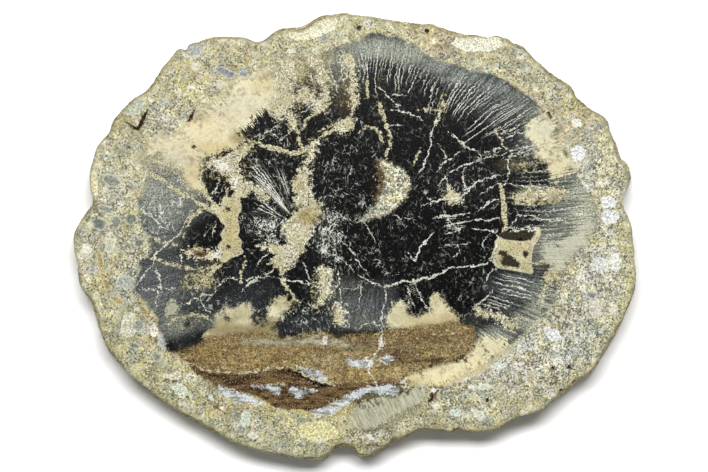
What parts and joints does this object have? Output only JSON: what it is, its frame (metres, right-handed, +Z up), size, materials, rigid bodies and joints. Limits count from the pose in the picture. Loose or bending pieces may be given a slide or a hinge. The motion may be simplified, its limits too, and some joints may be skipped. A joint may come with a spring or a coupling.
{
  "type": "petrified wood slice",
  "caption": "Flat slab of petrified wood, sawn across the trunk and polished on top, with an irregular rough sandstone rim; lies flat as a display piece.",
  "frame": {"origin": "bottom centre of the slab's box, on its lower sawn face", "axes": "+Z up through the polished face, +X along the slab's longest span"},
  "size_m": [0.1707, 0.1356, 0.014],
  "materials": {
    "petrified_wood": "polished"
  },
  "bodies": {
    "root": {"petrified_wood_slice": "petrified_wood"}
  },
  "joints": []
}
